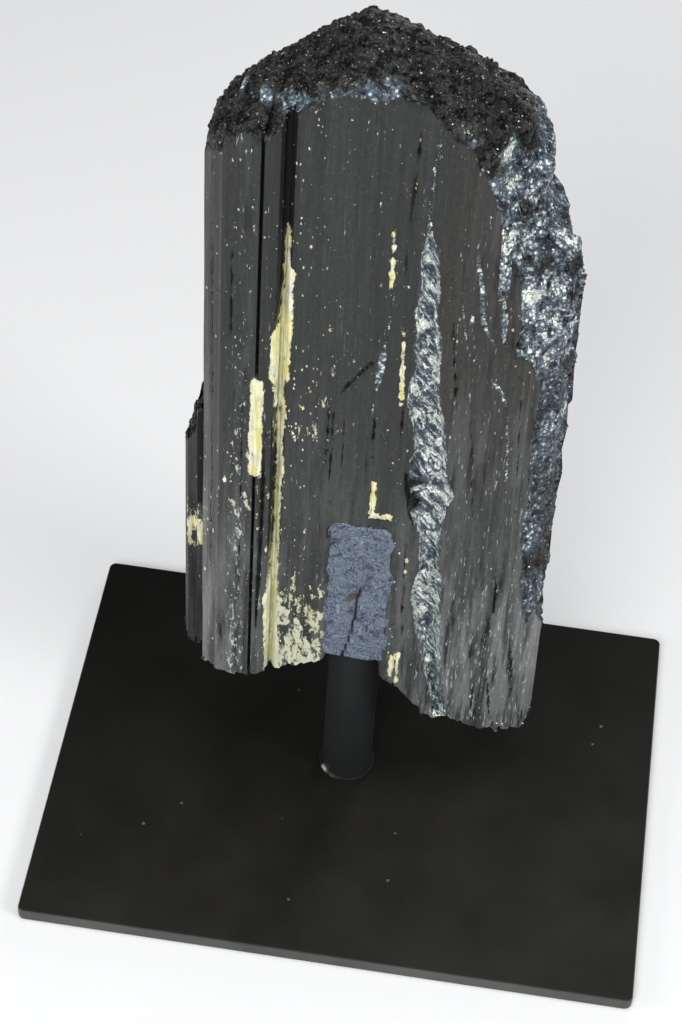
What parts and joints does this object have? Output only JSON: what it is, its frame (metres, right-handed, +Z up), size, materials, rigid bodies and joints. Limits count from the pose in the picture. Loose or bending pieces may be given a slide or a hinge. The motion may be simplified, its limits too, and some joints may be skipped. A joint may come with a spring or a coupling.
{
  "type": "mounted tourmaline crystal",
  "caption": "Black tourmaline crystal with striated upright faces and a broken domed top, held on a short rod above a flat rectangular stand plate.",
  "frame": {"origin": "middle of the stand plate's underside", "axes": "+Z up along the rod and the crystal, +X to the right, the crystal's flat striated face looks along -Y"},
  "size_m": [0.12, 0.09, 0.1874],
  "materials": {
    "stand_plate": "satin black coating, faint dust specks",
    "stand_rod": "satin black coating",
    "weld_bead": "rough pale bead, partly blackened",
    "tourmaline": "black with fine upright striations, silvery glittering breaks and pale yellow crust",
    "putty": "matt granular blue-grey"
  },
  "bodies": {
    "root": {"base_plate": "stand_plate", "rod": "stand_rod", "rod_foot_weld": "weld_bead", "crystal": "tourmaline", "socket_filler": "putty"}
  },
  "joints": []
}
